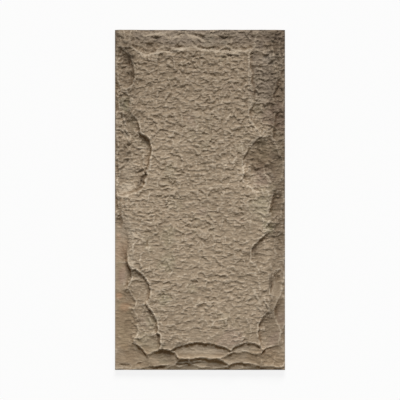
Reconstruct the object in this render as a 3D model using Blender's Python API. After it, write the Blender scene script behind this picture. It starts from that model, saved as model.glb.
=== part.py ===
# Faux stone wall panel: one moulded slab with a split-rock face.
# Metres. It lies on its flat back with the rock face up (+Z). X runs across the panel's width
# and Y along its length, and the origin is the centre of the back.
import math

import bmesh
import bpy
from mathutils import Matrix, Vector, noise

PANEL_WIDTH = 0.600
PANEL_LENGTH = 1.200
EDGE_THICKNESS = 0.024  # foam left where the lowest flakes run out at an edge
RELIEF = 0.032  # from there up to the flat of the rock face
FACE_SWELL = 0.0018  # the face's gentle rise and fall
SWELL_SPAN = 0.17  # how far apart its swells lie
FACE_RIPPLE = 0.0016  # the rough rise and fall of split rock on top of that
RIPPLE_SPAN = 0.027
FACE_CELL = 0.015  # grid of the uncut face

# The pitched margin: how far in from each edge the face starts to fall, and the share of the
# relief that is left at the edge.
PITCH = {
    "left": (0.055, 0.18),
    "right": (0.075, 0.12),
    "top": (0.070, 0.55),
    "bottom": (0.060, 0.06),
}
PITCH_CURVE = 1.6  # 1 is a straight slope, and more makes it fuller

# Flakes knocked off the face, by the edge that they belong to. Each is a shallow bowl:
# along is its place along the edge, from the lower or left end, as a share of the edge's length
# inset is how far its centre lies in from the edge, and below 0 it lies outside
# reach and mouth are its half sizes inwards and towards the edge, and half_length along it
# turn is in degrees, anticlockwise on the face
# level is its floor: 0 is the thin edge and 1 is the face
# run_out is how much of its depth is lost by its lower end, where it fades into the face
FLAKES = {
    "left": [
        (0.885, 0.007, 0.067, 0.067, 0.081, 14, 0.18, 0.35),
        (0.782, 0.018, 0.035, 0.049, 0.046, 0, 0.62, 0.50),
        (0.697, 0.032, 0.062, 0.085, 0.081, 0, 0.40, 0.25),
        (0.638, 0.056, 0.069, 0.106, 0.099, 0, 0.32, 0.00),
        (0.562, 0.049, 0.064, 0.092, 0.053, 32, 0.30, 0.05),
        (0.735, 0.000, 0.034, 0.034, 0.035, 0, 0.20, 0.40),
        (0.679, 0.000, 0.053, 0.053, 0.035, 0, 0.16, 0.40),
        (0.591, 0.000, 0.021, 0.021, 0.049, 0, 0.08, 0.20),
        (0.374, 0.000, 0.046, 0.046, 0.127, 0, 0.00, 0.00),
        (0.274, 0.000, 0.055, 0.055, 0.078, 0, 0.00, 0.00),
        (0.206, 0.000, 0.074, 0.074, 0.049, 0, 0.05, 0.00),
        (0.121, 0.000, 0.085, 0.085, 0.099, 0, 0.05, 0.00),
        (0.021, 0.042, 0.088, 0.088, 0.074, 0, 0.05, 0.00),
        (0.232, 0.067, 0.060, 0.092, 0.071, 0, 0.52, 0.10),
        (0.132, 0.078, 0.071, 0.099, 0.085, 12, 0.54, 0.00),
        (0.074, 0.109, 0.060, 0.106, 0.046, 20, 0.56, 0.00),
    ],
    "right": [
        (0.835, 0.000, 0.127, 0.127, 0.282, 0, 0.62, 0.00),
        (0.747, 0.046, 0.079, 0.099, 0.071, 0, 0.54, 0.00),
        (0.612, 0.078, 0.065, 0.099, 0.099, -16, 0.24, 0.35),
        (0.562, 0.074, 0.076, 0.099, 0.056, 0, 0.30, 0.60),
        (0.594, 0.007, 0.067, 0.067, 0.060, 0, 0.00, 0.40),
        (0.415, 0.032, 0.042, 0.071, 0.028, 0, 0.45, 0.70),
        (0.344, 0.067, 0.053, 0.099, 0.078, -32, 0.30, 0.95),
        (0.106, 0.046, 0.053, 0.085, 0.078, 0, 0.30, 0.35),
        (0.953, 0.000, 0.049, 0.049, 0.106, 0, 0.20, 0.30),
        (0.806, 0.000, 0.046, 0.046, 0.085, 0, 0.05, 0.30),
        (0.706, 0.000, 0.046, 0.046, 0.092, 0, 0.00, 0.20),
        (0.476, 0.000, 0.060, 0.060, 0.078, 0, 0.00, 0.40),
        (0.362, 0.000, 0.039, 0.039, 0.071, 0, 0.00, 0.20),
        (0.247, 0.000, 0.051, 0.051, 0.071, 0, 0.00, 0.40),
        (0.165, 0.000, 0.042, 0.042, 0.092, 0, 0.00, 0.30),
        (0.038, 0.000, 0.092, 0.092, 0.056, 0, 0.20, 0.00),
    ],
    "bottom": [
        (0.506, 0.062, 0.037, 0.024, 0.109, 0, 0.60, 0.00),
        (0.776, 0.067, 0.030, 0.028, 0.060, 6, 0.68, 0.00),
        (0.759, 0.032, 0.037, 0.049, 0.085, 0, 0.46, 0.00),
        (0.276, 0.011, 0.064, 0.071, 0.071, 0, 0.26, 0.00),
        (0.400, 0.004, 0.042, 0.042, 0.042, 0, 0.24, 0.00),
        (0.535, 0.000, 0.048, 0.048, 0.099, 0, 0.20, 0.00),
        (0.735, 0.000, 0.030, 0.030, 0.071, 0, 0.12, 0.00),
        (0.441, 0.000, 0.026, 0.026, 0.064, 0, 0.03, 0.00),
        (0.265, 0.000, 0.018, 0.018, 0.056, 0, 0.05, 0.00),
        (0.065, 0.000, 0.025, 0.025, 0.049, 0, 0.00, 0.00),
    ],
    "top": [
        (0.194, 0.014, 0.071, 0.071, 0.067, 0, 0.52, 0.00),
        (0.371, 0.011, 0.055, 0.055, 0.071, 0, 0.50, 0.00),
        (0.559, 0.021, 0.055, 0.055, 0.085, 0, 0.52, 0.00),
        (0.747, 0.021, 0.056, 0.056, 0.064, 0, 0.46, 0.00),
        (0.888, 0.035, 0.049, 0.049, 0.049, 0, 0.50, 0.00),
        (0.218, -0.007, 0.025, 0.025, 0.064, 0, 0.26, 0.00),
        (0.335, -0.007, 0.035, 0.035, 0.056, 0, 0.26, 0.00),
        (0.500, -0.007, 0.044, 0.044, 0.064, 0, 0.28, 0.00),
        (0.641, 0.026, 0.014, 0.014, 0.042, 0, 0.42, 0.00),
        (0.688, 0.116, 0.046, 0.032, 0.042, 0, 0.90, 0.80),
    ],
}

# How a flake's bowl is curved: 1 is a cone, 2 an ellipse, and more a flat floor with a steep wall.
BOWL_CURVE = {"left": 3.6, "right": 3.0, "bottom": 2.7, "top": 3.0}

BOWL_RINGS = 5
RIM_FACET = 0.026  # length of one facet round a flake's rim
FEWEST_FACETS = 14
RIM_WANDER = 0.08  # how far a rim strays from its ellipse, as a share of its radius
RIM_RIPPLE = 1.5  # and more makes it stray in shorter waves
RIM_SEED = 3.7  # each rim wanders its own way
LIP = 0.003  # a bowl's rim stands this far over the face, so that it cuts a crisp arris
CUT_CLEARANCE = 0.020  # cutters reach this far over the face


def clear_scene():
    for thing in list(bpy.data.objects):
        bpy.data.objects.remove(thing, do_unlink=True)


def moulded_foam():
    material = bpy.data.materials.new("moulded_foam")
    material.use_nodes = True
    shader = material.node_tree.nodes["Principled BSDF"]
    shader.inputs["Base Color"].default_value = (0.305, 0.235, 0.165, 1)
    shader.inputs["Roughness"].default_value = 0.9
    shader.inputs["Metallic"].default_value = 0
    return material


def pitched(distance, edge):
    """Height of the uncut face at a distance in from one edge."""
    run, share = PITCH[edge]
    left = 1 - min(distance / run, 1)
    return EDGE_THICKNESS + RELIEF * (share + (1 - share) * (1 - left**PITCH_CURVE))


def face_height(x, y):
    """The uncut rock face: a swelling flat whose margin falls away to the four edges."""
    swell = noise.noise(Vector((x / SWELL_SPAN, y / SWELL_SPAN, 0))) * 2 * FACE_SWELL
    ripple = noise.noise(Vector((x / RIPPLE_SPAN, y / RIPPLE_SPAN, 1))) * 2 * FACE_RIPPLE
    return swell + ripple + min(
        pitched(PANEL_WIDTH / 2 + x, "left"),
        pitched(PANEL_WIDTH / 2 - x, "right"),
        pitched(PANEL_LENGTH / 2 - y, "top"),
        pitched(PANEL_LENGTH / 2 + y, "bottom"),
    )


def uncut_slab():
    """A grid for the face, its border drawn down to the back, and one flat back."""
    slab = bmesh.new()
    bmesh.ops.create_grid(
        slab,
        x_segments=round(PANEL_WIDTH / FACE_CELL),
        y_segments=round(PANEL_LENGTH / FACE_CELL),
        size=0.5,
    )
    for point in slab.verts:
        x = point.co.x * PANEL_WIDTH
        y = point.co.y * PANEL_LENGTH
        point.co = (x, y, face_height(x, y))
    border = [edge for edge in slab.edges if edge.is_boundary]
    drawn = bmesh.ops.extrude_edge_only(slab, edges=border)["geom"]
    for point in drawn:
        if isinstance(point, bmesh.types.BMVert):
            point.co.z = 0
    foot = [edge for edge in slab.edges if edge.is_boundary]
    bmesh.ops.contextual_create(slab, geom=foot)
    bmesh.ops.recalc_face_normals(slab, faces=slab.faces)
    mesh = bpy.data.meshes.new("stone_panel")
    slab.to_mesh(mesh)
    slab.free()
    return mesh


def flake_place(edge, along, inset):
    """Centre of a flake on the face, and the heading from its edge straight in."""
    across_width = (along - 0.5) * PANEL_WIDTH
    up_length = (along - 0.5) * PANEL_LENGTH
    return {
        "left": (inset - PANEL_WIDTH / 2, up_length, 0),
        "right": (PANEL_WIDTH / 2 - inset, up_length, math.pi),
        "bottom": (across_width, inset - PANEL_LENGTH / 2, math.pi / 2),
        "top": (across_width, PANEL_LENGTH / 2 - inset, -math.pi / 2),
    }[edge]


def turned_bowl(floor, lip, curve, sides):
    """A bowl of radius 1, turned from its half profile and closed above its lip."""
    bowl = bmesh.new()
    profile = []
    for ring in range(BOWL_RINGS + 1):
        out = math.sin(math.pi / 2 * ring / BOWL_RINGS)
        rise = 1 - (1 - out**curve) ** (1 / curve)
        profile.append(bowl.verts.new((out, 0, floor + (lip - floor) * rise)))
    profile.append(bowl.verts.new((1, 0, lip + CUT_CLEARANCE)))
    profile.append(bowl.verts.new((0, 0, lip + CUT_CLEARANCE)))
    outline = [bowl.edges.new(pair) for pair in zip(profile, profile[1:])]
    bmesh.ops.spin(
        bowl,
        geom=profile + outline,
        axis=(0, 0, 1),
        cent=(0, 0, 0),
        angle=2 * math.pi,
        steps=sides,
        use_merge=True,
    )
    bmesh.ops.remove_doubles(bowl, verts=bowl.verts, dist=0.00001)
    return bowl


def flake_cutter(name, edge, flake, drift):
    """A bowl drawn out to its flake's sizes, with a wandering rim, and tilted to run out."""
    along, inset, reach, mouth, half_length, turn, level, run_out = flake
    floor = EDGE_THICKNESS + level * RELIEF
    lip = EDGE_THICKNESS + RELIEF + LIP
    sides = max(FEWEST_FACETS, round(math.pi * (reach + half_length) / RIM_FACET))
    bowl = turned_bowl(floor, lip, BOWL_CURVE[edge], sides)
    for point in bowl.verts:
        heading = math.atan2(point.co.y, point.co.x)
        across = RIM_RIPPLE * math.cos(heading)
        up = RIM_RIPPLE * math.sin(heading)
        stray = 1 + RIM_WANDER * 2 * noise.noise(Vector((across, up, drift)))
        point.co.x *= stray * (reach if point.co.x > 0 else mouth)
        point.co.y *= stray * half_length
    x, y, heading = flake_place(edge, along, inset)
    place = Matrix.Translation((x, y, 0)) @ Matrix.Rotation(heading + math.radians(turn), 4, "Z")
    bmesh.ops.transform(bowl, matrix=place, verts=bowl.verts)
    upper = max(point.co.y for point in bowl.verts)
    lower = min(point.co.y for point in bowl.verts)
    for point in bowl.verts:
        point.co.z += run_out * (lip - floor) * (upper - point.co.y) / (upper - lower)
    bmesh.ops.recalc_face_normals(bowl, faces=bowl.faces)
    mesh = bpy.data.meshes.new(name)
    bowl.to_mesh(mesh)
    bowl.free()
    cutter = bpy.data.objects.new(name, mesh)
    cutter.hide_render = True
    cutter.display_type = "WIRE"
    return cutter


def flake_cutters():
    """All the bowls, in a collection that the panel's Boolean takes as one cut."""
    cutters = bpy.data.collections.new("flake_cutters")
    bpy.context.scene.collection.children.link(cutters)
    for edge, flakes in FLAKES.items():
        for number, flake in enumerate(flakes, 1):
            drift = RIM_SEED * len(cutters.objects)
            cutters.objects.link(flake_cutter(f"{edge}_flake_{number}", edge, flake, drift))
    return cutters


def stone_panel():
    panel = bpy.data.objects.new("stone_panel", uncut_slab())
    panel.data.materials.append(moulded_foam())
    bpy.context.scene.collection.objects.link(panel)
    cut = panel.modifiers.new("knocked_off_flakes", "BOOLEAN")
    cut.operation = "DIFFERENCE"
    cut.operand_type = "COLLECTION"
    cut.solver = "EXACT"
    cut.collection = flake_cutters()
    return panel


clear_scene()
stone_panel()
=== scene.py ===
import math

import bmesh
import bpy
import numpy as np
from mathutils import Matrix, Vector, noise
from mathutils.bvhtree import BVHTree


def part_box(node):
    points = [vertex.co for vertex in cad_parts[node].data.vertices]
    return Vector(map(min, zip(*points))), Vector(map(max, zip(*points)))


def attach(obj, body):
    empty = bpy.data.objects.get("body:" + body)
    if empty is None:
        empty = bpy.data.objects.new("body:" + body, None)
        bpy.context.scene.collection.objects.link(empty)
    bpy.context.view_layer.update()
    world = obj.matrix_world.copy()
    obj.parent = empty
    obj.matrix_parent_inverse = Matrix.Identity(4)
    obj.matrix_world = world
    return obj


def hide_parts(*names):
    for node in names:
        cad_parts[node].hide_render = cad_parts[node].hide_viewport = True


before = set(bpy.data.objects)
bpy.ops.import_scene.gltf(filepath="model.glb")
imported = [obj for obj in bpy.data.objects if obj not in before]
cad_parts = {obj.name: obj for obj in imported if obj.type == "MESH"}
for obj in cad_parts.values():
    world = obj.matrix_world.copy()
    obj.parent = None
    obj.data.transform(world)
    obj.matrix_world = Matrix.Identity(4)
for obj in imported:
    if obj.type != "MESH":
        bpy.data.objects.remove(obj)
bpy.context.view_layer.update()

low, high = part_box("stone_panel")
panelSize = high - low
mm = 0.001


def between(value, start, end):  # 0 at start, 1 at end, smooth in between
    share = min(max((value - start) / (end - start), 0), 1)
    return share * share * (3 - 2 * share)


def softened(heights, reach):  # an even blur, reach cells each way, done twice
    for axis in (0, 1, 0, 1):
        margins = [(reach, reach) if side == axis else (0, 0) for side in (0, 1)]
        padded = np.pad(heights, margins, mode="edge")
        total = np.zeros_like(heights)
        for step in range(2 * reach + 1):
            part = [slice(None), slice(None)]
            part[axis] = slice(step, step + heights.shape[axis])
            total += padded[tuple(part)]
        heights = total / (2 * reach + 1)
    return heights


# The rock face. Spans are how far apart waves lie and sizes how high they are. Reaches are in
# cells. Layers are where a pattern is cut from the noise, so that no two of them match.
rockFace = {
    "cell": 2.76 * mm,
    # the wandering of the arrises
    "drift": [(38 * mm, 3.2 * mm), (15 * mm, 1.8 * mm), (7 * mm, 0.9 * mm)],
    "driftLayer": 27.3,
    "calmDrift": (0, 0.4, 0.8),  # the share of each that the lower border goes without
    "otherWave": (41, -23, 60),  # how far off in the noise the second wave of a pair is read
    # the grain
    "grain": [(26 * mm, 2.4 * mm), (14 * mm, 4.1 * mm), (8.2 * mm, 3.2 * mm), (5.2 * mm, 2.0 * mm)],
    "grainLayer": 31.7,  # from each size to the next
    "ridged": 0.6,  # 0 is rounded grain, and more raises its crests and fills its hollows
    "warp": (20 * mm, 4 * mm),  # keeps it from looking even
    "warpLayer": 3.1,
    "lean": -10,  # degrees, the way that it runs
    "stretch": 1.25,  # it is a little longer across the panel than up it
    "sink": 0.8 * mm,  # it is let in by this much, so that it stays inside the solid's height
    "patchy": (75 * mm, 0.35),  # it comes and goes in patches
    "patchyLayer": 53,
    "roughTop": (-300 * mm, 450 * mm, -0.14, 0.36),  # its gain below the first and above the second
    "rimCalm": (0.5, 12 * mm),  # the share of it lost at the outline, and how far in
    # the share of it that is left on the smooth ledges: the lower border, and a low strip at the left
    "calmGrain": 0.38,
    "calmFoot": (-520 * mm, -490 * mm),  # the border is full below the first and ends at the second
    "calmFootEnd": (190 * mm, 230 * mm, 0.6),  # and less so past these two, by this share
    "calmSide": (-255 * mm, -225 * mm),  # the strip is full before the first and ends at the second
    "calmSideTop": (-120 * mm, -60 * mm),
    "calmSideLevel": (34 * mm, 48 * mm),
    # smoother places: across, up and half sizes in mm, and the share of the grain that they lose
    "calmPlaces": [(276, -440, 44, 150, 0.5), (268, -300, 26, 44, 0.5), (276, 120, 26, 90, 0.3)],
    "calmCore": 0.6,  # out to this share of its half size, such a place is at its smoothest
    # from the first slope to the second a wall loses this share of its grain, and so does its edge
    "quietWall": (0.35, 1.2, 0.65),
    "quietReach": 1,
    "quietSpread": 1.6,
    # a sharp arris is broken away where the wave is high, by this share at most
    "chipShare": 0.35,
    "chipReach": 3,
    "chipSpan": 22 * mm,
    "chipLayer": 91,
    "chipWhere": (-0.15, 0.25),
    # how much prouder an arris stands and how much deeper its foot lies, here and on the lower border
    "crisp": 0.6,
    "crispFoot": 1.0,
    "crispReach": 2,
    # the border's walls have their feet filled up by this share, so that each drop is small
    "filledFoot": 0.6,
    "filledReach": 5,
    "wornReach": 5,
    "breakWidth": 2 * mm,  # how wide the sharp drop of a small break is, and the line that shows it
    "breakLine": 3 * mm,
    "sharpDrop": 8,  # mm that a break drops where its line is as sharp as an arris 1 mm proud
    # what the paint goes by
    "hollowReach": (1, 9),  # for the fine and the broad hollows that hold the dark wash, which paints their shade too
    "arrisReach": 1,
    "footReach": 3,
    "litWall": 2,  # the light sets off the walls that face up or down, so they get less painted shade
    "wallDown": 0.5,  # what a wall that faces down the panel counts beside one that faces across
    "shadowSteps": 5,  # cells up the panel in which a ledge is looked for
    "shadowSlope": 0.8,  # what lies lower than this slope down from a ledge is in its shadow, which is painted
    "shadowShare": 0.3,  # how much of that counts above the lower border
    "squareOn": 0.999,  # how squarely the four edges' faces are turned
}
cellsAcross = round(panelSize.x / rockFace["cell"])
cellsAlong = round(panelSize.y / rockFace["cell"])
cellSize = (panelSize.y / cellsAlong, panelSize.x / cellsAcross)

# Small breaks: each is a step that drops sharply on one side of a short line and then fades.
# across and up are its place on the face, length and turn its line, fade how far the drop runs.
# At a turn of 0 the drop is below the line, at 90 on its right and at -90 on its left.
smallBreaks = [
    # across, up, length, turn, drop, fade, all in mm but the turn in degrees
    (-268, 552, 30, 0, 4, 10),
    (-222, 546, 34, -14, 5, 12),
    (-200, 536, 26, -30, 4, 14),
    (-287, 508, 46, -112, 5, 14),
    (-262, 468, 40, -5, 3, 14),
    (-290, 395, 150, -88, 3, 10),
    (-247, 358, 46, 88, 4, 8),
    (-270, 283, 60, -80, 6, 10),
    (-264, 230, 46, -55, 5, 12),
    (-210, 186, 34, -4, 5, 12),
    (-212, 106, 48, 18, 6, 16),
    (-250, -238, 46, -58, 5, 14),
    (-188, -152, 44, 84, 5, 20),
    (-222, -118, 44, -28, 4, 22),
    (-214, -140, 34, 38, 3, 18),
    (-196, -248, 26, 4, 5, 16),
    (-268, -577, 44, -6, 4, 30),
    (-213, -573, 36, 10, 3, 30),
    (-143, -584, 96, 3, 5, 30),
    (-40, -574, 124, 3, 5, 20),
    (215, -586, 44, -12, 4, 30),
    (112, 513, 76, -4, 7, 12),
    (82, 576, 96, -3, 6, 16),
    (188, 522, 26, 20, 5, 16),
    (264, 560, 30, 8, 5, 20),
    (250, 455, 40, -40, 4, 14),
    (270, 392, 54, 53, 6, 16),
    (218, 362, 56, -3, 4, 10),
    (240, 85, 66, 117, 6, 10),
    (250, -301, 92, 88, 6, 12),
    (202, -345, 30, -40, 5, 20),
    (232, -378, 60, -62, 6, 24),
    (206, -382, 40, -55, 4, 18),
    (-176, 515, 94, 187, 6, 20),
    (-81, 531, 120, 191, 6, 20),
    (7, 535, 72, 165, 6, 20),
    (113, 523, 172, 179, 6, 20),
    (-166, 584, 74, 181, 5, 14),
    (-120, 576, 30, 150, 4, 12),
    (-77, 576, 56, 200, 5, 14),
    (-11, 575, 84, 160, 5, 14),
    (182, 402, 232, 90, 5, 22),
    (188, 262, 62, -58, 5, 9),
    (-272, 296, 56, -86, 3, 8),
    (-256, 236, 50, -52, 5, 9),
]

# Where a wall is worn to a soft slope.
wornPlaces = [
    # across, up and half sizes across and up in mm, and how much
    (-256, -115, 34, 125, 1.0),
    (262, 95, 26, 95, 0.8),
    (264, -170, 24, 110, 0.8),
    (-60, 566, 230, 36, 0.8),
    (-264, 306, 30, 24, 1.0),
    (-285, -292, 26, 70, 0.9),
    (-232, -345, 26, 60, 0.7),
    (-222, -432, 26, 60, 0.7),
    (-262, 512, 34, 26, 0.7),
    (-234, 480, 24, 56, 0.6),
    (-238, 300, 34, 40, 0.5),
    (250, -320, 36, 66, 0.9),
    (235, -400, 40, 50, 0.6),
    (-183, -572, 24, 30, 0.8),
    (217, -565, 20, 36, 0.8),
    (278, -545, 34, 50, 0.9),
    (-262, -515, 44, 30, 1.0),
    (-270, -384, 40, 16, 0.8),
    (200, 185, 56, 60, 0.5),
]


def solidHeights():
    mesh = bpy.data.objects["stone_panel"].data
    merged = bmesh.new()
    merged.from_mesh(mesh)
    bmesh.ops.remove_doubles(merged, verts=merged.verts, dist=0.01 * mm)
    tree = BVHTree.FromBMesh(merged)
    merged.free()
    inside = 0.2 * mm
    lift = high.z + 0.1

    def heightAt(x, y):
        x = min(max(x, low.x + inside), high.x - inside)
        y = min(max(y, low.y + inside), high.y - inside)
        return tree.ray_cast(Vector((x, y, lift)), Vector((0, 0, -1)))[0].z

    return heightAt


def waveAt(x, y, span, layer):  # from about -0.5 to 0.5
    return noise.noise(Vector((x / span, y / span, layer)))


def moved(x, y, span, size, layer):  # a place carried off by a slow wave
    aside, back, above = rockFace["otherWave"]
    other = Vector((y / span + aside, x / span + back, layer + above))
    return x + 2 * size * waveAt(x, y, span, layer), y + 2 * size * noise.noise(other)


def drifted(x, y):
    smooth = 1 - between(y, *rockFace["calmFoot"])
    for number, (span, size) in enumerate(rockFace["drift"]):
        share = 1 - smooth * rockFace["calmDrift"][number]
        x, y = moved(x, y, span, size * share, rockFace["driftLayer"] + number)
    return x, y


def grainShare(x, y, level):
    start, end, regained = rockFace["calmFootEnd"]
    foot = (1 - between(y, *rockFace["calmFoot"])) * (1 - regained * between(x, start, end))
    side = 1 - between(x, *rockFace["calmSide"])
    side *= 1 - between(y, *rockFace["calmSideTop"])
    side *= 1 - between(level, *rockFace["calmSideLevel"])
    lower, upper, less, more = rockFace["roughTop"]
    span, size = rockFace["patchy"]
    gain = 1 + less + (more - less) * between(y, lower, upper)
    gain += 2 * size * waveAt(x, y, span, rockFace["patchyLayer"])
    for across, up, halfAcross, halfUp, lost in rockFace["calmPlaces"]:
        apart = math.hypot((x / mm - across) / halfAcross, (y / mm - up) / halfUp)
        gain *= 1 - lost * (1 - between(apart, rockFace["calmCore"], 1))
    return gain * (1 - (1 - rockFace["calmGrain"]) * max(foot, side))


def grainAt(x, y):
    span, size = rockFace["warp"]
    x, y = moved(x, y, span, size, rockFace["warpLayer"])
    lean = math.radians(rockFace["lean"])
    along = (x * math.cos(lean) + y * math.sin(lean)) / rockFace["stretch"]
    over = y * math.cos(lean) - x * math.sin(lean)
    total = 0
    for number, (span, size) in enumerate(rockFace["grain"]):
        wave = waveAt(along, over, span, rockFace["grainLayer"] * number)
        total += size * (wave + rockFace["ridged"] * abs(wave))
    return total


def readFace(x, y, heightAt):  # what the relief and the paint are made from at one point
    wanderedX, wanderedY = drifted(x, y)
    level = heightAt(wanderedX, wanderedY)
    share = grainShare(x, y, level)
    inward = min(panelSize.x / 2 - abs(x), panelSize.y / 2 - abs(y))
    lost, reach = rockFace["rimCalm"]
    kept = share * (1 - lost * (1 - between(inward, 0, reach)))
    chips = waveAt(x, y, rockFace["chipSpan"], rockFace["chipLayer"])
    return {
        "x": wanderedX,
        "y": wanderedY,
        "form": level,
        "grainShare": share,
        "grain": kept * grainAt(x, y),
        "broken": kept * between(chips, *rockFace["chipWhere"]),
        "blotch": blotchAt(x, y),
    }


def breaksAt(xs, ys):  # how far the small breaks lower the face, and how sharp their lines are
    total = np.zeros_like(xs)
    lines = np.zeros_like(xs)
    for across, up, length, turn, drop, fade in smallBreaks:
        heading = math.radians(turn)
        alongLine = (xs - across * mm) * math.cos(heading) + (ys - up * mm) * math.sin(heading)
        below = (xs - across * mm) * math.sin(heading) - (ys - up * mm) * math.cos(heading)
        ends = np.clip(1 - (2 * alongLine / (length * mm)) ** 2, 0, 1)
        fading = np.exp(-np.maximum(below, 0) / (fade * mm / 2))
        total += drop * mm * ends * np.clip(below / rockFace["breakWidth"], 0, 1) * fading
        sharp = np.exp(-((below / rockFace["breakLine"]) ** 2))
        lines = np.maximum(lines, drop / rockFace["sharpDrop"] * ends * sharp)
    return total, lines


def wornDown(form, xs, ys):
    soft = softened(form, rockFace["wornReach"])
    for across, up, halfAcross, halfUp, strength in wornPlaces:
        apart = np.hypot((xs / mm - across) / halfAcross, (ys / mm - up) / halfUp)
        share = strength * np.clip(2 - 2 * apart, 0, 1)  # full over the inner half
        form = form + share * (soft - form)
    return form


def inLedgeShadow(form):  # how deep a place lies, in mm, under the ledges above it on the panel, for their painted shadow
    deep = np.zeros_like(form)
    for step in range(1, rockFace["shadowSteps"] + 1):
        above = form[step:] - form[:-step] - step * rockFace["cell"] * rockFace["shadowSlope"]
        deep[:-step] = np.maximum(deep[:-step], above)
    return deep / mm


def relief(face):  # the finished heights, and the readings that the paint goes by
    form = wornDown(face["form"], face["x"], face["y"])
    border = np.interp(face["y"], rockFace["calmFoot"], (1, 0))
    sunken = np.maximum(softened(form, rockFace["filledReach"]) - form, 0)
    form = form + rockFace["filledFoot"] * border * sunken
    gentle, steep, quiet = rockFace["quietWall"]
    steepness = np.clip((np.hypot(*np.gradient(form, *cellSize)) - gentle) / (steep - gentle), 0, 1)
    nearWall = np.clip(rockFace["quietSpread"] * softened(steepness, rockFace["quietReach"]), 0, 1)
    grain = face["grain"] * (1 - quiet * nearWall)
    proud = np.maximum(form - softened(form, rockFace["chipReach"]), 0)
    dropped, breakLines = breaksAt(face["x"], face["y"])
    form = form - rockFace["chipShare"] * face["broken"] * proud - dropped
    crisp = rockFace["crisp"] + border * (rockFace["crispFoot"] - rockFace["crisp"])
    form = form + crisp * (form - softened(form, rockFace["crispReach"]))
    heights = np.minimum(form + grain - rockFace["sink"], high.z)
    slopeUp, slopeAcross = np.gradient(form, *cellSize)
    lit = 1 + rockFace["litWall"] * np.abs(slopeUp)
    facing = rockFace["wallDown"] * np.maximum(slopeUp, 0)
    standing = (form - softened(form, rockFace["arrisReach"])) / mm
    fine, broad = rockFace["hollowReach"]
    sheltered = rockFace["shadowShare"] + (1 - rockFace["shadowShare"]) * border
    readings = {
        "fineHollow": (softened(grain, fine) - grain) / mm,
        "broadHollow": (softened(heights, broad) - heights) / mm,
        "arris": np.maximum(standing, breakLines * (1 - border)),
        "foot": (softened(form, rockFace["footReach"]) - form) / mm / lit,
        "wall": np.hypot(facing, slopeAcross) / lit,
        # where the face slopes down the panel, away from the sun, for a painted shade
        "shadedSlope": np.maximum(np.gradient(heights, cellSize[0], axis=0), 0),
        # the shadow under the ledges, which is painted
        "ledgeShadow": inLedgeShadow(form) * sheltered,
        "grainShare": face["grainShare"],
    }
    return heights, readings


def keepReadings(slab, kind, readings, places):  # as the face's own attributes
    for name, values in readings.items():
        layer = kind.new(name)
        for point, (row, column) in zip(slab.verts, places):
            point[layer] = values[row, column]


def closeSlab(slab):  # four square edges and a flat back, and a finish for each kind of face
    rim = [edge for edge in slab.edges if edge.is_boundary]
    for edge in rim:
        edge.smooth = False
    drawn = bmesh.ops.extrude_edge_only(slab, edges=rim)["geom"]
    for point in drawn:
        if isinstance(point, bmesh.types.BMVert):
            point.co.z = low.z
    foot = [edge for edge in slab.edges if edge.is_boundary]
    for edge in foot:
        edge.smooth = False
    back = bmesh.ops.contextual_create(slab, geom=foot)["faces"]
    bmesh.ops.recalc_face_normals(slab, faces=slab.faces)
    for face in slab.faces:
        upright = max(abs(face.normal.x), abs(face.normal.y)) > rockFace["squareOn"]
        face.material_index = 2 if face in back else int(upright)
        face.smooth = face.material_index == 0
    # row by row, because the order that an extrusion leaves differs from run to run
    order = Vector((1e3, 1e6, 1))
    slab.verts.sort(key=lambda point: point.co.dot(order))
    slab.edges.sort(key=lambda edge: (edge.verts[0].co + edge.verts[1].co).dot(order))
    slab.faces.sort(key=lambda face: face.calc_center_median().dot(order))


def rockPanel():
    slab = bmesh.new()
    bmesh.ops.create_grid(slab, x_segments=cellsAcross, y_segments=cellsAlong, size=0.5)
    heightAt = solidHeights()
    places = []
    points = []
    for point in slab.verts:
        row = round((point.co.y + 0.5) * cellsAlong)
        column = round((point.co.x + 0.5) * cellsAcross)
        places.append((row, column))
        x = point.co.x * panelSize.x
        y = point.co.y * panelSize.y
        point.co.x = x
        point.co.y = y
        points.append(readFace(x, y, heightAt))
    face = {name: np.zeros((cellsAlong + 1, cellsAcross + 1)) for name in points[0]}
    for (row, column), values in zip(places, points):
        for name, value in values.items():
            face[name][row, column] = value
    heights, readings = relief(face)
    keepReadings(slab, slab.verts.layers.float, readings, places)
    columns = np.linspace(low.x, high.x, cellsAcross + 1)
    rows = np.linspace(low.y, high.y, cellsAlong + 1)
    painted = patchColours(*np.meshgrid(columns, rows), face["blotch"])
    keepReadings(slab, slab.verts.layers.float_vector, painted, places)
    for point, (row, column) in zip(slab.verts, places):
        point.co.z = heights[row, column]
    closeSlab(slab)
    mesh = bpy.data.meshes.new("rock_panel")
    slab.to_mesh(mesh)
    slab.free()
    panel = bpy.data.objects.new("rock_panel", mesh)
    bpy.context.scene.collection.objects.link(panel)
    return panel


class Wire:  # an output socket, so that shader maths reads as plain expressions
    def __init__(self, finish, socket):
        self.finish = finish
        self.socket = socket

    def maths(self, operation, first, second, clamp=False):
        settings = {"operation": operation, "use_clamp": clamp}
        return self.finish.node("ShaderNodeMath", settings, {0: first, 1: second})

    def __add__(self, other):
        return self.maths("ADD", self, other)

    __radd__ = __add__

    def __sub__(self, other):
        return self.maths("SUBTRACT", self, other)

    def __rsub__(self, other):
        return self.maths("SUBTRACT", other, self)

    def __mul__(self, other):
        return self.maths("MULTIPLY", self, other)

    def held(self):  # kept within 0 and 1
        return self.maths("ADD", self, 0, clamp=True)

    def absolute(self):
        return self.maths("ABSOLUTE", self, 0)


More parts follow.
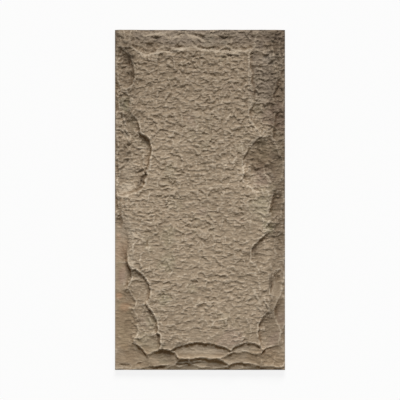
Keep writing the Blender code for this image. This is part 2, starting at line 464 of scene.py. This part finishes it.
class Finish:
    def __init__(self, tree):
        self.tree = tree
        self.tree.nodes.clear()

    def node(self, kind, settings, sockets, output=0):
        made = self.tree.nodes.new(kind)
        for name, value in settings.items():
            setattr(made, name, value)
        for name, value in sockets.items():
            if isinstance(value, Wire):
                self.tree.links.new(value.socket, made.inputs[name])
            else:
                made.inputs[name].default_value = value
        return Wire(self, made.outputs[output]) if made.outputs else None

    def attribute(self, name, output="Fac"):
        return self.node("ShaderNodeAttribute", {"attribute_name": name}, {}, output)

    def speckle(self, span, detail, layer, stretch=1, lean=0):  # stretch draws it out, lean turns it
        turn = (0, 0, -math.radians(lean))
        sockets = {"Vector": self.place, "Rotation": turn, "Scale": (1 / stretch, 1, 1)}
        place = self.node("ShaderNodeMapping", {}, sockets)
        sockets = {"Vector": place, "W": layer, "Scale": 1 / span, "Detail": detail}
        return self.node("ShaderNodeTexNoise", {"noise_dimensions": "4D"}, sockets, "Fac")

    def ramp(self, value, start, end):  # 0 up to start, 1 from end on, and never outside 0 to 1
        sockets = {"Value": value, "From Min": start, "From Max": end}
        settings = {"interpolation_type": "SMOOTHSTEP", "clamp": False}
        return self.node("ShaderNodeMapRange", settings, sockets)

    def coat(self, name, value, pattern=None):  # how much of a coat lies where the reading is value
        start, end, strength, ragged = coats[name]
        if pattern:
            value = value + (pattern - 0.5) * ragged
        return self.ramp(value, start, end) * strength

    def blend(self, share, first, second, kind="MIX"):
        settings = {"data_type": "RGBA", "blend_type": kind, "clamp_factor": True}
        return self.node("ShaderNodeMix", settings, {0: share, 6: first, 7: second}, 2)

    def axis(self, name):
        return self.node("ShaderNodeSeparateXYZ", {}, {"Vector": self.place}, name)


def newMaterial(name):
    material = bpy.data.materials.new(name)
    material.use_nodes = True
    finish = Finish(material.node_tree)
    finish.place = finish.node("ShaderNodeTexCoord", {}, {}, "Object")
    return material, finish


# The paint on the foam: a taupe stone colour, washes in what lies low, which also paint its shade, and
# a dry brush on what stands out, which also paints highlights. Glazes darken what is under them, and
# in places paint shade.
paint = {
    "stone": (0.326, 0.250, 0.172, 1),
    # a pale dry brush that also paints highlights on crests and arrises, and painted light on some
    # ledges
    "highlightDryBrush": (0.540, 0.450, 0.340, 1),
    # a dark wash that also paints shade in the hollows, on the walls and at their feet
    "shadeWash": (0.105, 0.068, 0.036, 1),
    "umber": (0.180, 0.132, 0.085, 1),
    "moss": (0.245, 0.235, 0.145, 1),
    "clay": (0.420, 0.255, 0.160, 1),
    "rose": (0.320, 0.225, 0.185, 1),
    "slate": (0.190, 0.175, 0.150, 1),
    "ash": (0.370, 0.360, 0.360, 1),
    # a brown that paints shade on slopes facing away from the sun
    "ochre": (0.320, 0.220, 0.115, 1),
    # a pale paint for highlights painted along the top margin's lines
    "chalkHighlight": (0.780, 0.680, 0.540, 1),
    "edgePaint": (0.235, 0.178, 0.122, 1),  # on the four square edges
    "bareFoam": (0.520, 0.430, 0.290, 1),  # and nothing on the back
    # the glazes multiply what lies under them; besides darker tones, the umber and earth ones paint
    # shade in places, and the wall one on the walls
    "umberGlazeAndShade": (0.50, 0.47, 0.44, 1),
    "earthGlazeAndShadow": (0.59, 0.44, 0.23, 1),
    "wallShadeGlaze": (0.62, 0.47, 0.31, 1),
    "washed": (0.10, 0.15),  # shares of the wash on the walls and at their feet, where it paints shade
    "glazed": (0.50, 0.22),  # and of the wall glaze, also painted shade
    "calmPaint": 0.5,  # what the smooth ledges keep of the streaks
    "calmArris": (0.40, 0.45),  # the dry brush and painted highlight on the smooth ledges' arrises, and what others get more
    "outline": (3 * mm, 0.5),  # the width and the strength of the dark line round the panel
    "blotchSpan": 35 * mm,
    "blotchOctaves": 4,
    "blotchLayer": (77, 9),  # of the first, and from each to the next
    "blotchEdge": 1.2,  # how ragged they make the edges of the patches and glazes below
    "patchFade": 0.7,  # the share of a patch's half size over which it fades out
    "roughness": (0.86, 0.12),  # and how much of it varies
    "gloss": 0.25,
    "bump": (0.8, 0.8, 4.2),  # how much the grit, the mottle and the streaks stand out
    "bumpHeight": 1.5 * mm,
    "foamRoughness": (0.82, 0.2),
    "foamBump": (0.5, 0.6 * mm),  # strength and height
    "foamCells": (4, 4.0),  # the detail and the layer of the foam's cells, which are this wide:
    "edgeCells": 3 * mm,
    "backCells": 1.5 * mm,
}

# The paint's patterns: span, detail and layer, and how far the streaks are drawn out and lean.
speckles = {
    "cloud": (130 * mm, 3, 1.0),
    "mottle": (35 * mm, 4, 2.0),
    "grit": (4.5 * mm, 3, 3.0),
    "streak": (7.4 * mm, 2, 21.0, 3.2, rockFace["lean"]),
    "moss": (90 * mm, 2, 5.0),
    "rose": (110 * mm, 2, 8.0),
    "wornHighlight": (12 * mm, 3, 11.0),
    "foamCloud": (60 * mm, 2, 9.0),
}

# Where each coat begins, where it is full, its strength there, and how ragged a pattern makes it.
# The first ones go by a pattern, the next by the readings of the face, and the shades by the place
# on the panel in metres.
coats = {
    "umberClouds": (0.35, 0.65, 0.22, 0),
    "mossClouds": (0.56, 0.70, 0.22, 0),
    "roseClouds": (0.60, 0.75, 0.35, 0),
    "paleStreaks": (0.52, 0.72, 0.40, 0),
    "darkStreaks": (0.48, 0.28, 0.42, 0),
    "wornHighlight": (0.34, 0.56, 1, 0),
    "foamClouds": (0.35, 0.65, 0.18, 0),
    "foamPits": (0.50, 0.36, 0.30, 0),
    "grainy": (0.3, 0.9, 1, 0),
    # the coats on walls, feet, hollows, slopes facing away from the sun and under ledges paint shade;
    # those on crests and arrises paint highlights
    "wall": (0.30, 1.1, 1, 0.4),
    "foot": (0.25, 2.20, 1, 0.5),
    "hollow": (0.1, 1.2, 0.12, 0.6),
    "pocket": (1.0, 9.0, 0.18, 0),
    "shadedSlope": (0.1, 0.9, 0.50, 0),
    "ledgeShadow": (0, 2.5, 0.84, 1.5),
    "crest": (0.05, 0.9, 0.40, 0.8),
    "arris": (0.05, 0.45, 1, 0.5),
    "topShade": (0.10, 0.40, 0.27, 0.2),
    "topEdgeShade": (0.49, 0.55, 0.44, 0),
    "rightShade": (0.228, 0.264, 0.80, 0.05),
    "rightShadeStart": (-0.46, -0.02, 1, 0),
    "rightShadeEnd": (0.36, 0.48, 0.5, 0),
}

# Soft patches of paint: tones, and in some places painted light, highlights and shade.
patches = [
    # across, up and two half sizes in mm, turn in degrees, strength and paint
    (-268, 339, 36, 36, 0, 0.50, "moss"),
    (219, -26, 62, 62, 0, 0.35, "moss"),
    (247, -95, 30, 30, 0, 0.55, "moss"),
    (-113, -222, 44, 44, 0, 0.35, "moss"),
    (-124, -346, 36, 36, 0, 0.35, "moss"),
    (-168, -430, 36, 36, 0, 0.30, "moss"),
    (275, 293, 66, 66, 0, 0.45, "rose"),
    (272, 500, 62, 62, 0, 0.35, "slate"),
    # painted light on the bright floor below the big left scar, and painted shade along its diagonal
    # wall
    (-254, 42, 40, 30, 0, 0.80, "highlightDryBrush"),
    (-207, 72, 46, 9, 61, 0.70, "shadeWash"),
    # painted highlights along arrises
    (158, 130, 60, 6, 80, 0.75, "highlightDryBrush"),
    (186, 208, 44, 6, 40, 0.60, "highlightDryBrush"),
    (172, 410, 110, 5, 90, 0.60, "highlightDryBrush"),
    (187, 266, 40, 7, -64, 0.80, "highlightDryBrush"),
    (201, -342, 56, 6, -66, 0.60, "highlightDryBrush"),
    (245, -392, 40, 6, -61, 0.55, "highlightDryBrush"),
    (-252, 118, 30, 60, 0, 0.30, "highlightDryBrush"),
    (-276, -150, 34, 100, 0, 0.25, "highlightDryBrush"),
    (-288, -130, 12, 16, 0, 0.60, "clay"),
    (-282, -225, 18, 30, 0, 0.45, "moss"),
    (-272, -272, 24, 44, 0, 0.40, "rose"),
    (-286, -340, 12, 16, 0, 0.60, "clay"),
    (-266, -378, 28, 24, 0, 0.35, "clay"),
    (-270, -470, 34, 56, 0, 0.10, "moss"),
    (0, 580, 420, 60, 0, 0.20, "ash"),
    (225, 430, 70, 150, 0, 0.15, "ash"),
    # painted highlights along the top margin's arrises
    (-172, 518, 62, 7, -2, 0.55, "chalkHighlight"),
    (-71, 529, 56, 8, 15, 0.75, "chalkHighlight"),
    (10, 533, 44, 8, -14, 0.75, "chalkHighlight"),
    (116, 527, 80, 8, 3, 0.60, "chalkHighlight"),
    (-150, 586, 50, 7, 0, 0.50, "chalkHighlight"),
    (-80, 580, 34, 7, 26, 0.60, "chalkHighlight"),
    (-20, 577, 60, 7, -22, 0.60, "chalkHighlight"),
    (205, -35, 68, 68, 0, 0.12, "highlightDryBrush"),
    (-232, -124, 36, 36, 0, 0.30, "highlightDryBrush"),
    (-276, -180, 30, 150, 0, 0.30, "clay"),
    (-268, -105, 34, 70, 0, 0.50, "highlightDryBrush"),
    # painted light on the bottom ledges, which face away from the sun
    (5, -532, 120, 18, 0, 0.35, "highlightDryBrush"),
    (150, -528, 60, 14, 0, 0.35, "highlightDryBrush"),
    (-170, -560, 70, 20, 0, 0.35, "highlightDryBrush"),
    (40, -572, 120, 12, 0, 0.20, "highlightDryBrush"),
    (190, -585, 90, 12, 0, 0.20, "highlightDryBrush"),
    (-246, -215, 26, 34, 0, 0.35, "highlightDryBrush"),
]

# Thin glazes over everything, in the same form: darker tones, and in some places painted shade.
glazes = [
    (210, 150, 62, 84, 0, 0.60, "umberGlazeAndShade"),
    (228, 98, 70, 56, 0, 0.40, "umberGlazeAndShade"),
    (262, 560, 60, 60, 0, 0.30, "umberGlazeAndShade"),
    (201, -200, 46, 62, 0, 0.35, "umberGlazeAndShade"),
    (215, 400, 80, 170, 0, 0.38, "umberGlazeAndShade"),
    (-258, 420, 60, 150, 0, 0.40, "umberGlazeAndShade"),
    (-275, 150, 52, 150, 0, 0.35, "umberGlazeAndShade"),
    (-270, -430, 70, 160, 0, 0.30, "earthGlazeAndShadow"),
    (262, -430, 74, 130, 0, 0.48, "umberGlazeAndShade"),
    (-210, -560, 120, 60, 0, 0.25, "earthGlazeAndShadow"),
    (230, -560, 120, 60, 0, 0.30, "earthGlazeAndShadow"),
    (0, -548, 300, 30, 0, 0.10, "earthGlazeAndShadow"),
    # painted shade in the corner along the big left scar's diagonal wall
    (-206, 72, 46, 12, 61, 0.85, "umberGlazeAndShade"),
    (-212, 106, 30, 9, 4, 0.60, "umberGlazeAndShade"),
    (216, 204, 34, 20, 40, 0.60, "umberGlazeAndShade"),
    (216, 150, 60, 70, 0, 0.20, "earthGlazeAndShadow"),
    # painted shade under a step in the top margin
    (82, 571, 50, 12, -3, 0.75, "umberGlazeAndShade"),
    # painted shade in the top-left scoop, here and at -245, 502 and -282, 520
    (-238, 470, 16, 60, 8, 0.50, "umberGlazeAndShade"),
    (264, 572, 12, 20, 0, 0.60, "umberGlazeAndShade"),
    (272, 514, 10, 12, 0, 0.60, "umberGlazeAndShade"),
    (-245, 502, 26, 26, 0, 0.50, "umberGlazeAndShade"),
    (-250, 413, 28, 14, 0, 0.40, "umberGlazeAndShade"),
    (-245, 546, 52, 10, 0, 0.55, "umberGlazeAndShade"),
    (185, 510, 14, 14, 0, 0.55, "umberGlazeAndShade"),
    (238, 445, 30, 18, 0, 0.40, "umberGlazeAndShade"),
    # painted shade along the right strip's wall, which the top light leaves unshaded
    (249, -290, 70, 8, 90, 0.95, "umberGlazeAndShade"),
    (190, -172, 16, 10, 60, 0.60, "umberGlazeAndShade"),
    # painted shade under steps in the lower border
    (-268, -577, 30, 6, -6, 0.50, "umberGlazeAndShade"),
    (-143, -585, 50, 6, 3, 0.30, "umberGlazeAndShade"),
    (-284, -268, 12, 30, 0, 0.30, "umberGlazeAndShade"),
    (-262, -452, 12, 34, 0, 0.30, "umberGlazeAndShade"),
    (190, -178, 20, 18, 0, 0.55, "umberGlazeAndShade"),
    (262, 155, 30, 18, 0, 0.45, "umberGlazeAndShade"),
    (-282, 520, 22, 46, 0, 0.45, "umberGlazeAndShade"),
]


def blotchAt(x, y):  # from about -0.5 to 0.5, and what makes the patches' edges ragged
    first, step = paint["blotchLayer"]
    total = 0
    whole = 0
    for octave in range(paint["blotchOctaves"]):
        weight = 1 / 2**octave
        total += weight * waveAt(x, y, paint["blotchSpan"] * weight, first + step * octave)
        whole += 2 * weight
    return total / whole


def patchShares(spots, x, y, blotches):  # the share and the colour of each, over the whole face
    for across, up, halfLong, halfWide, turn, strength, name in spots:
        heading = math.radians(turn)
        away = x / mm - across
        over = y / mm - up
        alongPatch = (away * math.cos(heading) + over * math.sin(heading)) / halfLong
        besidePatch = (over * math.cos(heading) - away * math.sin(heading)) / halfWide
        apart = np.hypot(alongPatch, besidePatch) + paint["blotchEdge"] * blotches
        share = np.clip((1 - apart) / paint["patchFade"], 0, 1)
        share = strength * share * share * (3 - 2 * share)
        yield share[..., None], np.array(paint[name][:3])


def patchColours(x, y, blotches):  # what is left of the paint below, and the patches and glazes on it
    bare = np.ones((*x.shape, 1))
    coat = np.zeros((*x.shape, 3))
    for share, colour in patchShares(patches, x, y, blotches):
        bare = bare * (1 - share)
        coat = coat * (1 - share) + share * colour
    glaze = np.ones((*x.shape, 3))
    for share, colour in patchShares(glazes, x, y, blotches):
        glaze = glaze * (1 - share + share * colour)
    return {"bare": np.repeat(bare, 3, axis=2), "coat": coat, "glaze": glaze}


def paintedStone():
    material, finish = newMaterial("painted_foam_stone")
    x = finish.axis("X")
    y = finish.axis("Y")
    fine = finish.attribute("fineHollow")
    cloud = finish.speckle(*speckles["cloud"])
    mottle = finish.speckle(*speckles["mottle"])
    grit = finish.speckle(*speckles["grit"])
    streak = finish.speckle(*speckles["streak"])
    grainy = finish.coat("grainy", finish.attribute("grainShare"))
    lively = grainy * (1 - paint["calmPaint"]) + paint["calmPaint"]
    wall = finish.coat("wall", finish.attribute("wall"), mottle)
    foot = finish.coat("foot", finish.attribute("foot"), mottle)

    colour = finish.blend(finish.coat("umberClouds", cloud), paint["stone"], paint["umber"])
    moss = finish.coat("mossClouds", finish.speckle(*speckles["moss"]))
    colour = finish.blend(moss, colour, paint["moss"])
    rose = finish.coat("roseClouds", finish.speckle(*speckles["rose"]))
    colour = finish.blend(rose, colour, paint["rose"])
    colour = finish.blend(1, colour, finish.attribute("bare", "Vector"), "MULTIPLY")
    colour = finish.blend(1, colour, finish.attribute("coat", "Vector"), "ADD")

    # the dark wash on the walls, at their feet and in the fine and broad hollows also paints their
    # shade
    onWall, atFoot = paint["washed"]
    colour = finish.blend(wall * onWall, colour, paint["shadeWash"])
    colour = finish.blend(foot * atFoot, colour, paint["shadeWash"])
    colour = finish.blend(finish.coat("hollow", fine, grit), colour, paint["shadeWash"])
    pocket = finish.coat("pocket", finish.attribute("broadHollow"))
    colour = finish.blend(pocket, colour, paint["shadeWash"])
    # slopes that face down the panel, away from the sun, get an ochre tint: painted shade
    shadedSlope = finish.coat("shadedSlope", finish.attribute("shadedSlope"))
    colour = finish.blend(shadedSlope, colour, paint["ochre"])
    # a painted shadow under each ledge, in the earth glaze
    ledgeShadow = finish.coat("ledgeShadow", finish.attribute("ledgeShadow"), mottle)
    colour = finish.blend(ledgeShadow, colour, paint["earthGlazeAndShadow"], "MULTIPLY")

    # a dry brush on the grain's crests and on the arrises: partly worn paint, partly a painted
    # highlight
    colour = finish.blend(finish.coat("crest", fine * -1, grit), colour, paint["highlightDryBrush"])
    # pale streaks on the streak bump's tops and dark ones between: partly dry brush and wash, partly
    # painted highlight and shade
    colour = finish.blend(finish.coat("paleStreaks", streak) * lively, colour, paint["highlightDryBrush"])
    colour = finish.blend(finish.coat("darkStreaks", streak) * lively, colour, paint["umber"])
    wornHighlight = finish.coat("arris", finish.attribute("arris"), mottle)
    wornHighlight = wornHighlight * finish.coat("wornHighlight", finish.speckle(*speckles["wornHighlight"]))
    calm, more = paint["calmArris"]
    colour = finish.blend(wornHighlight * (lively * more + calm), colour, paint["highlightDryBrush"])

    # the wall glaze is painted shade on the walls and at their feet
    onWall, atFoot = paint["glazed"]
    colour = finish.blend(wall * onWall + foot * atFoot, colour, paint["wallShadeGlaze"], "MULTIPLY")
    colour = finish.blend(1, colour, finish.attribute("glaze", "Vector"), "MULTIPLY")
    topShade = finish.coat("topShade", y, cloud) + finish.coat("topEdgeShade", y)
    rightShade = finish.coat("rightShade", x, mottle) * finish.coat("rightShadeStart", y)
    rightShade = rightShade * (1 - finish.coat("rightShadeEnd", y))
    colour = finish.blend(topShade + rightShade, colour, paint["umberGlazeAndShade"], "MULTIPLY")
    width, strength = paint["outline"]
    nearSide = finish.ramp(x.absolute(), high.x - width, high.x)
    nearEnd = finish.ramp(y.absolute(), high.y - width, high.y)
    colour = finish.blend(nearSide * strength, colour, paint["shadeWash"])
    colour = finish.blend(nearEnd * strength, colour, paint["shadeWash"])

    gritty, mottled, streaky = paint["bump"]
    rise = grit * gritty + mottle * mottled + streak * lively * streaky
    sockets = {"Strength": 1, "Distance": paint["bumpHeight"], "Height": rise}
    bump = finish.node("ShaderNodeBump", {}, sockets, "Normal")
    even, varied = paint["roughness"]
    sockets = {
        "Base Color": colour,
        "Roughness": even + (grit - 0.5) * varied,
        "Specular IOR Level": paint["gloss"],
        "Normal": bump,
    }
    shader = finish.node("ShaderNodeBsdfPrincipled", {}, sockets)
    finish.node("ShaderNodeOutputMaterial", {}, {"Surface": shader})
    return material


def plainFoam(name, tone, span):
    material, finish = newMaterial(name)
    cells = finish.speckle(span, *paint["foamCells"])
    cloud = finish.speckle(*speckles["foamCloud"])
    colour = finish.blend(finish.coat("foamClouds", cloud), tone, paint["umber"])
    # the pits of the foam's cells are darker, partly painted shade
    colour = finish.blend(finish.coat("foamPits", cells), colour, paint["umber"])
    strength, height = paint["foamBump"]
    sockets = {"Strength": strength, "Distance": height, "Height": cells}
    bump = finish.node("ShaderNodeBump", {}, sockets, "Normal")
    even, varied = paint["foamRoughness"]
    sockets = {"Base Color": colour, "Roughness": even + (cells - 0.5) * varied, "Normal": bump}
    shader = finish.node("ShaderNodeBsdfPrincipled", {}, sockets)
    finish.node("ShaderNodeOutputMaterial", {}, {"Surface": shader})
    return material


panel = rockPanel()
print("rock face", len(panel.data.vertices), "points")
panel.data.materials.append(paintedStone())
panel.data.materials.append(plainFoam("painted_edge", paint["edgePaint"], paint["edgeCells"]))
panel.data.materials.append(plainFoam("bare_foam_back", paint["bareFoam"], paint["backCells"]))
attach(panel, "root")
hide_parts("stone_panel")
print("painted with", len(patches), "patches and", len(glazes), "glazes")


# The studio: a white floor, one soft sun from the panel's upper edge, an even fill, and the
# camera overhead.
studio = {
    "floorSize": 8.0,
    "floorColour": (0.80, 0.80, 0.79, 1),
    "floorGlow": 0.86,
    "sunTurn": -4,  # degrees from the panel's upper edge round to the left
    "sunHeight": 40,
    "sunPower": 3.46,
    "sunSoftness": 28,
    "fill": 0.28,
    "pictureWidth": 1.4118,  # metres seen across the picture
    "lens": 250,
    "sensor": 36,
    "facePlane": 0.030,
}


def whiteFloor():
    board = bmesh.new()
    bmesh.ops.create_grid(board, x_segments=1, y_segments=1, size=studio["floorSize"] / 2)
    mesh = bpy.data.meshes.new("floor")
    board.to_mesh(mesh)
    board.free()
    floor = bpy.data.objects.new("floor", mesh)
    bpy.context.scene.collection.objects.link(floor)
    material, finish = newMaterial("pale_floor")
    matt = finish.node("ShaderNodeBsdfDiffuse", {}, {"Color": studio["floorColour"]})
    glow = finish.node("ShaderNodeEmission", {}, {"Color": (1, 1, 1, 1), "Strength": 1})
    seen = finish.node("ShaderNodeLightPath", {}, {}, "Is Camera Ray")
    shiny = finish.node("ShaderNodeLightPath", {}, {}, "Is Glossy Ray")
    through = finish.node("ShaderNodeLightPath", {}, {}, "Is Transmission Ray")
    share = (seen + shiny + through).held() * studio["floorGlow"]
    both = finish.node("ShaderNodeMixShader", {}, {0: share, 1: matt, 2: glow})
    finish.node("ShaderNodeOutputMaterial", {}, {"Surface": both})
    mesh.materials.append(material)


def lamps():
    sun = bpy.data.lights.new("sun", "SUN")
    sun.energy = studio["sunPower"]
    sun.angle = math.radians(studio["sunSoftness"])
    lamp = bpy.data.objects.new("sun", sun)
    turn = math.radians(studio["sunTurn"])
    lift = math.radians(studio["sunHeight"])
    level = math.cos(lift)
    towards = Vector((-math.sin(turn) * level, math.cos(turn) * level, math.sin(lift)))
    lamp.rotation_mode = "QUATERNION"
    lamp.rotation_quaternion = towards.to_track_quat("Z", "Y")
    bpy.context.scene.collection.objects.link(lamp)
    world = bpy.data.worlds.new("studio")
    bpy.context.scene.world = world
    world.use_nodes = True
    sky = Finish(world.node_tree)
    fill = sky.node("ShaderNodeBackground", {}, {"Color": (1, 1, 1, 1), "Strength": studio["fill"]})
    white = sky.node("ShaderNodeBackground", {}, {"Color": (1, 1, 1, 1), "Strength": 1})
    seen = sky.node("ShaderNodeLightPath", {}, {}, "Is Camera Ray")
    both = sky.node("ShaderNodeMixShader", {}, {0: seen, 1: fill, 2: white})
    sky.node("ShaderNodeOutputWorld", {}, {"Surface": both})


def camera():
    lens = bpy.data.cameras.new("camera")
    lens.lens = studio["lens"]
    lens.sensor_width = studio["sensor"]
    eye = bpy.data.objects.new("camera", lens)
    distance = studio["pictureWidth"] * lens.lens / lens.sensor_width
    eye.location = (0, 0, studio["facePlane"] + distance)
    eye.rotation_euler = (0, 0, 0)
    bpy.context.scene.collection.objects.link(eye)
    bpy.context.scene.camera = eye


whiteFloor()
lamps()
camera()
bpy.context.scene.view_settings.view_transform = "Standard"
print("studio ready")
